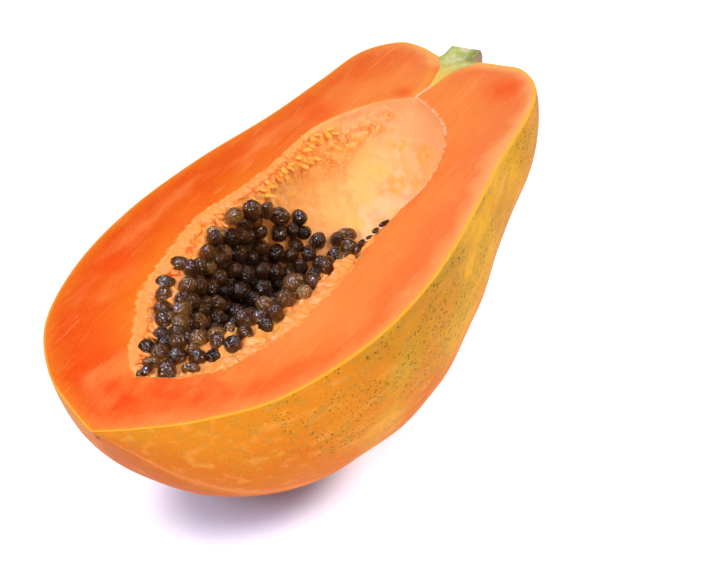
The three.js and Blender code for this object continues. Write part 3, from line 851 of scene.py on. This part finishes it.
def make_seed_bed(finish):
    """The pulp that holds the seeds, between the cavity's wall and the hollow. It is a closed sweep:
    out along the wall, across a shelf below the cut face and back along the hollow's wall."""
    rows, columns, shelf = 150, 56, 9
    x = np.linspace(*BED["ends"], rows)[:, None]
    angle = np.linspace(0, np.pi, columns)[None]
    middle, outer = radius_at(CAVITY, x, angle, CAVITY_EDGES)
    _, inner = radius_at(HOLLOW, x, angle)
    outer = outer + BED["into_wall"]
    inner = np.minimum((inner + BED["behind_hollow"]) * ease(x, 50, 56), outer - BED["thinnest"])

    def ring(radius):
        """Points at a radius from the middle line, none above the shelf, which sinks inwards."""
        y, z = middle + radius * np.cos(angle), -radius * np.sin(angle)
        points = np.stack(np.broadcast_arrays(x, y, z), axis=-1)
        from_wall = outer[:, [0]] - np.abs(points[..., 1] - middle)
        shelf_level = BED["shelf"] - BED["shelf_slope"] * ease(from_wall, 2, 10)
        points[..., 2] = np.minimum(points[..., 2], shelf_level)
        return points

    wall, inside = ring(outer), ring(inner)[:, ::-1]
    step = np.linspace(0, 1, shelf + 2)[None, 1:-1, None]
    right = wall[:, -1:] * (1 - step) + inside[:, :1] * step
    left = inside[:, -1:] * (1 - step) + wall[:, :1] * step
    rings = np.concatenate([wall, right, inside, left], axis=1)
    bumpy = np.zeros(rings.shape[:2])
    bumpy[:, columns:] = 1 - ease(x, 122, 138)
    rings[..., 2] += bumpy * (1.1 * lumps(rings, 7, 71) + 0.5 * lumps(rings, 3, 72))
    rings[0] = rings[0].mean(axis=0)
    rings[-1, columns : columns + shelf] = rings[-1, columns - 1]
    rings[-1, columns + shelf : 2 * columns + shelf] = rings[-1, columns - 1 :: -1]
    rings[-1, 2 * columns + shelf :] = rings[-1, 0]
    z = rings[..., 2]
    values = {
        "crevice": 0.55 * ease(lumps(rings, 6, 73), 0.1, 1.0),
        "yellow": 0.5 * ease(lumps(rings, 9, 74), 0.0, 0.8),
        # painted shade: the bed darkens deep in the cavity
        "deep": ease(z, -8, -17) * (1 - ease(x, 128, 142)),
        "by_rim": 0.5 * ease(z, *BY_RIM),
    }
    faces = tube_faces(rows, rings.shape[1])
    return make_mesh("seed_bed", rings, faces, [finish], values=values)


# ---- the seeds ------------

# A seed's sizes, the share by which they vary, and what its random turn is multiplied by. The heap ends
# at the first x of its end at the top, and at the second at end_depth. on_ledge is the share of seeds
# beside the hollow, level with the ledge, and spacing is a share of a seed's length. fillers and behind
# have the start of a stream, the tries and the spacing: for seeds in the gaps, and for a layer of them
# behind the hollow's wall.
SEED = {"length": 6.9, "width": 5.9, "spread": 0.12, "turns": (17, 29)}
SEEDS = {
    "random": 20, "tries": 7000, "spacing": 0.88, "end": (128, 151), "end_depth": 30, "ragged": 7,
    "on_ledge": 0.4, "ledge": -3.4, "ledge_start": 30, "ledge_width": 76, "hollow_start": 50,
    "looseness": 1.6, "from_outside": 1.6, "fillers": (77, 5000, 0.76), "behind": (99, 4000, 0.72),
    "layer": 3.6,
}
HEAP_CLEARANCE = 1.5  # between the seeds and the cavity's lining
HEAP_CORNER = (119, -23, -9)  # no seed of the heap is past this x, right of this y and above this z
HIGHEST = 1.45  # how far a seed may stand above the cut face
# seeds that lie apart: middle, then length, width and thickness, then direction and tone
LOOSE_SEEDS = [
    ((158.3, 11.5, -35.2), (8.2, 6.6, 5.8), (0.6, -0.8, -0.1), 0.35),
    ((131.5, -32.2, -0.9), (5.0, 2.2, 1.7), (0.9, -0.2, -0.1), 0.1),
    ((127.1, -31.4, -1.0), (4.2, 2.1, 1.6), (0.8, 0.1, -0.1), 0.3),
    ((123.4, -30.8, -1.6), (3.0, 1.4, 1.2), (0.8, -0.4, -0.1), 0.2),
    ((117.0, -31.0, -0.9), (7.6, 2.8, 2.6), (0.98, 0.12, 0.02), 0.35),
    ((30.6, 4.2, -0.7), (6.6, 2.6, 1.2), (0.9, 0.1, -0.04), 0.5),
    ((35.4, 3.8, -1.8), (7.2, 3.8, 3.2), (0.9, 0.1, 0.0), 0.2),
    ((40.6, -11.2, -2.0), (6.8, 4.6, 3.6), (0.5, -0.8, -0.2), 0.6),
    ((78.0, 29.0, -2.2), (7.6, 5.8, 5.2), (0.3, -0.9, -0.1), 0.35),
    ((72.4, 25.4, -2.3), (7.0, 6.0, 5.4), (0.7, 0.6, 0.1), 0.5),
    ((89.0, 30.4, -2.2), (8.0, 6.0, 5.2), (0.2, -1.0, -0.1), 0.45),
    ((108.4, 28.2, -2.2), (6.8, 6.4, 5.8), (0.5, -0.8, -0.1), 0.95),
    ((45.0, 12.2, -2.4), (8.2, 6.6, 6.0), (0.8, 0.5, 0.1), 0.15),
    ((60.4, 16.6, -2.4), (7.4, 6.2, 5.8), (0.4, 0.9, 0.1), 0.2),
    ((65.4, 20.6, -2.4), (7.0, 6.2, 5.8), (0.9, 0.3, 0.1), 0.4),
]


def random_draws(start, count):
    """A seeded stream of random numbers from 0 to 1: each state is the last one times 1664525 plus
    1013904223, cut to 32 bits."""
    draws = np.empty(count)
    state = start
    for i in range(count):
        state = (state * 1664525 + 1013904223) & 0xFFFFFFFF
        draws[i] = state / 2**32
    return draws


def outwardness(points, clearance):
    """How far out points are in the cavity: 1 where they are clearance away from its lining. It is the
    squared ellipse's sum, (across^p + down^p)^(1/p), of the shares of the room to each side and down."""
    share = share_at(CAVITY, points[:, 0])
    on_left = points[:, 1] >= CAVITY["left"][0][1] * (1 - share)
    middle, half_width, depth, _, _ = cross_section(CAVITY, share, on_left)
    angle = np.arctan2(
        np.maximum(-points[:, 2] / np.maximum(depth, 1e-6), 0),
        (points[:, 1] - middle) / np.maximum(half_width, 1e-6),
    )
    factor = edge_factor(CAVITY_EDGES, share, angle)
    inset = clearance + lining_height(points[:, 0], angle)
    width, deep = factor * half_width - inset, factor * depth - inset
    across = np.abs(points[:, 1] - middle) / np.maximum(width, 1e-6)
    down = np.maximum(-points[:, 2], 0) / np.maximum(deep, 1e-6)
    out = (across**SECTION_POWER + down**SECTION_POWER) ** (1 / SECTION_POWER)
    return np.where((width < 1) | (deep < 1), np.inf, out), middle


def seed_places(random, tries, spacing, kept=(), behind=0.0):
    """Middles, sizes and turns of the seeds. A place is drawn on the hollow's wall or level with the cut
    face, moved in from the cavity's wall, and kept when no seed is too near. behind moves the hollow's
    wall outwards, for seeds under the first ones."""
    draws = random_draws(random, 7 * tries).reshape(tries, 7)
    on_ledge = (draws[:, 2] < SEEDS["on_ledge"]) & (behind == 0)
    size = 1 + SEED["spread"] * (2 * draws[:, 4] - 1)
    in_hollow = form_point(HOLLOW, draws[:, 0], draws[:, 1] * np.pi)
    from_axis = np.maximum(np.linalg.norm(in_hollow[:, 1:], axis=1, keepdims=True), 5)
    in_hollow[:, 1:] *= 1 + behind / from_axis
    in_hollow[:, 2] = np.minimum(in_hollow[:, 2], SEEDS["ledge"] - 1.5 * behind)
    ledge_x = SEEDS["ledge_start"] + (SEEDS["end"][0] - SEEDS["ledge_start"]) * draws[:, 0]
    ledge_y = SEEDS["ledge_width"] * (draws[:, 1] - 0.5)
    share = share_at(HOLLOW, ledge_x)
    edge = cross_section(HOLLOW, share, ledge_y > 0)[1]
    edge = np.abs(edge + np.sign(ledge_y) * HOLLOW["left"][0][1] * (1 - share))
    hidden = on_ledge & (ledge_x > SEEDS["hollow_start"]) & (np.abs(ledge_y) < edge)
    level = np.stack([ledge_x, ledge_y, np.full(tries, float(SEEDS["ledge"]))], axis=1)
    middles = np.where(on_ledge[:, None], level, in_hollow)
    middles[:, 2] += SEEDS["looseness"] * (draws[:, 3] - 0.5)
    out, axis = outwardness(middles, SEED["length"] * size / 2 + HEAP_CLEARANCE - 0.6 * behind)
    keep = ~hidden & (out <= np.where(on_ledge, 1, SEEDS["from_outside"]))
    pull = np.maximum(out, 1)
    middles[:, 1] = axis + (middles[:, 1] - axis) / pull
    middles[:, 2] /= pull
    low = np.clip(-middles[:, 2] / SEEDS["end_depth"], 0, 1)
    end = SEEDS["end"][0] + (SEEDS["end"][1] - SEEDS["end"][0]) * low
    keep &= middles[:, 0] <= end + SEEDS["ragged"] * (draws[:, 5] - 0.5) - 1.5 * behind
    chosen = list(kept)
    for i in np.flatnonzero(keep):
        near = [
            np.linalg.norm(place - middles[i]) < spacing * SEED["length"] * (other + size[i]) / 2
            for place, other, _ in chosen
        ]
        if not any(near):
            chosen.append((middles[i], size[i], draws[i, 6]))
    return chosen


def turned(turn):
    """Rotation matrices: first about X, then about Z, by a seed's own random share of a turn."""
    a, b = turn * SEED["turns"][0], turn * SEED["turns"][1]
    one, nil = np.ones_like(a), np.zeros_like(a)
    about_x = np.array([[one, nil, nil], [nil, np.cos(a), -np.sin(a)], [nil, np.sin(a), np.cos(a)]])
    about_z = np.array([[np.cos(b), -np.sin(b), nil], [np.sin(b), np.cos(b), nil], [nil, nil, one]])
    return np.einsum("ijn,jkn->nik", about_z, about_x)


def egg_mesh(name, middles, halves, turns, tone, finish, rows=10, columns=14):
    """An uneven egg for each seed: an ellipsoid, narrower at one end, whose radius swells and sinks with
    lumps of its own. Each is turned by its own matrix and keeps its own tone."""
    count = len(middles)
    v = np.linspace(0, np.pi, rows)[None, :, None]
    u = np.linspace(0, 2 * np.pi, columns, endpoint=False)[None, None, :]
    number = np.arange(count)[:, None, None, None]
    ball = np.stack(np.broadcast_arrays(np.sin(v) * np.cos(u), np.sin(v) * np.sin(u), np.cos(v)), axis=-1)
    crease = 1 + 0.045 * lumps(ball * 3 + number * 7.3, 5.0, 21)
    crease[:, [0, -1]] = crease[:, [0, -1], :1]
    taper = 1 - 0.16 * ball[..., 2:] * [1, 1, 0]
    shapes = ball * taper * halves[:, None, None, :] * crease[..., None]
    # the pattern's first axis runs along the seed, and each seed has its own stretch of it
    own = np.roll(shapes, 1, axis=-1) * MM + number * 0.013
    shapes = np.einsum("nij,nrcj->nrci", turns, shapes) + middles[:, None, None, :]
    shapes[..., 2] -= np.maximum(shapes[..., 2].max(axis=(1, 2)) - HIGHEST, 0)[:, None, None]
    values = {"tone": np.broadcast_to(tone[:, None, None], shapes.shape[:3]), "own": own}
    return make_mesh(name, shapes, tube_faces(rows, columns, count), [finish], values=values)


def make_seeds(finish):
    """The heap of seeds: those that show, smaller gaps filled, and a layer behind them."""
    first = seed_places(SEEDS["random"], SEEDS["tries"], SEEDS["spacing"])
    filled = seed_places(*SEEDS["fillers"], first)
    every = seed_places(*SEEDS["behind"], filled, behind=SEEDS["layer"])
    middles, sizes, turns = (np.array([seed[k] for seed in every]) for k in range(3))
    halves = np.outer(sizes, [SEED["width"], SEED["width"], SEED["length"]]) / 2
    halves *= np.random.default_rng(33).uniform(1.0, 1.2, (len(every), 3))
    tone = np.random.default_rng(31).beta(1.6, 2.4, len(every))
    x, y, z = middles.T
    # painted shade: seeds deep in the hollow are darker
    tone *= 1 - 0.8 * ease(-z, 13, 26)
    corner_x, corner_y, corner_z = HEAP_CORNER
    shown = (x <= corner_x) | (y >= corner_y) | (z <= corner_z)
    middles, halves, turns, tone = (of_all[shown] for of_all in (middles, halves, turns, tone))
    return egg_mesh("seed_heap", middles, halves, turned(turns), tone, finish)


def make_loose_seeds(finish):
    """The seeds that lie apart, some squashed flat on the flesh."""
    middles = np.array([seed[0] for seed in LOOSE_SEEDS], float)
    halves = np.array([seed[1][::-1] for seed in LOOSE_SEEDS]) / 2
    run = np.array([seed[2] for seed in LOOSE_SEEDS], float)
    run /= np.linalg.norm(run, axis=1, keepdims=True)
    side, up = across_of(run)
    turns = np.stack([up, side, run], axis=2)
    tone = np.array([seed[3] for seed in LOOSE_SEEDS])
    return egg_mesh("loose_seeds", middles, halves, turns, tone, finish, rows=14, columns=18)


# ---- the stalk ------------

STALK = {
    "route": [
        (214, -1.1, -0.4), (221.5, -1, -1.6), (227.5, -1.2, -2.6),
        (232.5, -1.4, -3.2), (236, -0.5, -2.8), (241.7, -0.1, -2.5),
    ],
    "radii": [1, 2.8, 5.2, 9, 7.5, 7.1],
    "above_face": 0.03,
}


def make_stalk(finishes):
    """The stalk cut in half: rings of a tube that widens at the fruit's neck, cut off level with the cut
    face and closed across it, and at its ends by rings that shrink to their middle."""
    rows, around, across = 72, 34, 13
    share = np.linspace(0, 1, rows)[:, None]
    middle = smooth_line(STALK["route"], share)
    radius = smooth_line([(0, r) for r in STALK["radii"]], share)[..., 1]
    over_level = np.arcsin(np.clip(-middle[..., 2] / radius, -1, 1))
    turn = -over_level + (np.pi + 2 * over_level) * np.linspace(0, 1, around)[None]
    skin = np.stack(np.broadcast_arrays(
        middle[..., 0], middle[..., 1] + radius * np.cos(turn), middle[..., 2] - radius * np.sin(turn),
    ), axis=-1)
    skin[..., 2] = np.minimum(skin[..., 2], 0)
    furrow = 0.16 * lumps(skin * [0.2, 1, 1], 1.8, 81) * np.sin(np.linspace(0, np.pi, around))[None]
    skin[..., 1:] += (skin - middle)[..., 1:] / radius[..., None] * furrow[..., None]
    step = np.linspace(0, 1, across + 2)[None, 1:-1, None]
    top = skin[:, -1:] * (1 - step) + skin[:, :1] * step
    outside = ease(top[..., 0], 231, 234)
    top[..., 2] -= 0.12 * outside * np.abs(lumps(top, 2.2, 82)) * np.sin(np.pi * step[..., 0])
    rings = np.concatenate([skin, top], axis=1)
    rings[..., 2] += STALK["above_face"] * ease(rings[..., 2], -1.5, -0.2)
    centre = rings.mean(axis=1, keepdims=True)
    start = np.broadcast_to(centre[:1], rings[:1].shape)
    ends = [rings[-1:] * (1 - t) + centre[-1:] * t for t in (0.35, 0.7, 1.0)]
    rings = np.concatenate([start, rings, *ends], axis=0)
    columns = rings.shape[1]
    sides = np.concatenate([np.full(around, 1.0), np.abs(np.linspace(-1, 1, across + 2)[1:-1])])
    x, y = rings[..., 0], rings[..., 1]
    values = {
        "along": x,
        "across": np.broadcast_to(sides, x.shape),
        "near": ease(-y, 1.5, 6.5) * ease(x, 230.5, 234.5),
        "brown": ease(-y, 5.5, 8.0) * ease(x, 233, 236),
    }
    faces = tube_faces(len(rings), columns)
    square = np.arange((len(rings) - 1) * columns)
    cut = (square % columns >= around - 1) | (square // columns >= rows)
    sharp = np.zeros(rings.shape[:2], bool)
    sharp[:, [0, around - 1]] = True
    sharp[rows] = True
    return make_mesh("stalk", rings, faces, finishes, np.repeat(np.where(cut, 1, 0), 2), values, sharp)


# ---- the scene ------------

# the camera's place and its right, up and backward directions, in the fruit's own frame
CAMERA_FROM = np.array([-371.2, -472.4, 451.1])
CAMERA_AXES = ((0.5401, -0.8148, -0.2108), (0.5886, 0.1866, 0.7866), (-0.6016, -0.5490, 0.5803))
FOCAL_PIXELS, IMAGE_WIDTH, SENSOR = 2254.9, 723, 36.0
LAMP_TARGET = (0, 0, 0.04)
LAMPS = [  # place and size in metres, power in watts, tint, and whether it gives wet highlights alone
    ("key", (-0.15, -0.95, 0.92), 0.5, 7.4, "#FFFFFF", False),
    ("tip side", (-0.75, 0.1, 0.85), 0.35, 5.2, "#FFFFFF", False),
    ("overhead shine", (0.06, 0.33, 1.05), 0.4, 13.0, "#D4D2F8", True),
    ("stalk side", (0.7, 0.1, 1.0), 0.3, 1.5, "#FFFFFF", False),
]
ROOM_LIGHT = 0.45
FLOOR_HALF = 3.0
# the spot where the floor's own light fades out, a painted shadow by the fruit: its middle and half sizes
# in metres, and its turn
PAINTED_SHADOW_SPOT = {"location": (-0.051, 0.008, 0), "rotation": (0, 0, 2.214), "scale": (0.036, 0.035, 1)}


def make_camera():
    """The camera, its focal length given in pixels of the image's width."""
    data = bpy.data.cameras.new("camera")
    data.sensor_width = SENSOR
    data.lens = FOCAL_PIXELS * SENSOR / IMAGE_WIDTH
    turn = Matrix(CAMERA_AXES).transposed().to_4x4()
    turn.translation = Vector((CAMERA_FROM + TIP) * MM)
    camera = new_object("camera", data)
    camera.matrix_world = turn
    bpy.context.scene.camera = camera


def make_studio():
    """A white table top, a pale room and soft square lamps that face the fruit. The table top gives off
    light, so it stays white, except in a spot by the fruit where that light fades out: a painted shadow
    that adds to the fruit's own."""
    material, add = new_finish("white table top, lit from below")
    place = add("Mapping", add("TexCoord", output="Object"), vector_type="TEXTURE", **PAINTED_SHADOW_SPOT)
    away = add("VectorMath", place, operation="LENGTH", output="Value")
    # painted shadow: the floor's own light is turned down in the spot by the fruit
    add("OutputMaterial", add(
        "BsdfPrincipled", "#C6CEF2", roughness=0.9, specular_ior_level=0,
        emission_color="#FFF4F6", emission_strength=add("MapRange", away, 0.6, 1.3, 0.03, 0.75),
    ))
    mesh = bpy.data.meshes.new("floor")
    corners = [(x * FLOOR_HALF, y * FLOOR_HALF, 0) for x, y in ((-1, -1), (1, -1), (1, 1), (-1, 1))]
    mesh.from_pydata(corners, [], [(0, 1, 2, 3)])
    mesh.materials.append(material)
    floor = new_object("floor", mesh)
    room = bpy.data.worlds.new("pale room")
    room.use_nodes = True
    background = room.node_tree.nodes["Background"].inputs
    background["Color"].default_value = colour("#FFFFFF")
    background["Strength"].default_value = ROOM_LIGHT
    room.cycles_visibility.glossy = False
    bpy.context.scene.world = room
    for name, lamp_place, size, power, tint, only_shine in LAMPS:
        data = bpy.data.lights.new(name, "AREA")
        data.shape, data.size, data.energy, data.color = "SQUARE", size, power, colour(tint)[:3]
        lamp = new_object(name, data)
        lamp.location = lamp_place
        lamp.visible_diffuse = not only_shine
        facing = Vector(lamp_place) - Vector(LAMP_TARGET)
        lamp.rotation_euler = facing.to_track_quat("Z", "Y").to_euler()
    bpy.context.scene.view_settings.view_transform = "Standard"


make_camera()
make_studio()
rind, flesh, pulp, seed_finish = papaya_rind(), papaya_flesh(), torn_pulp(), wet_seed()
put_on(make_papaya_half([rind, flesh, pulp]), "papaya_half")
put_on(make_pulp_scraps(pulp), "papaya_half")
put_on(make_loose_seeds(seed_finish), "papaya_half")
put_on(make_seed_bed(pulp), "seeds")
put_on(make_seeds(seed_finish), "seeds")
put_on(make_stalk([stalk_skin(), stalk_cut()]), "stem")
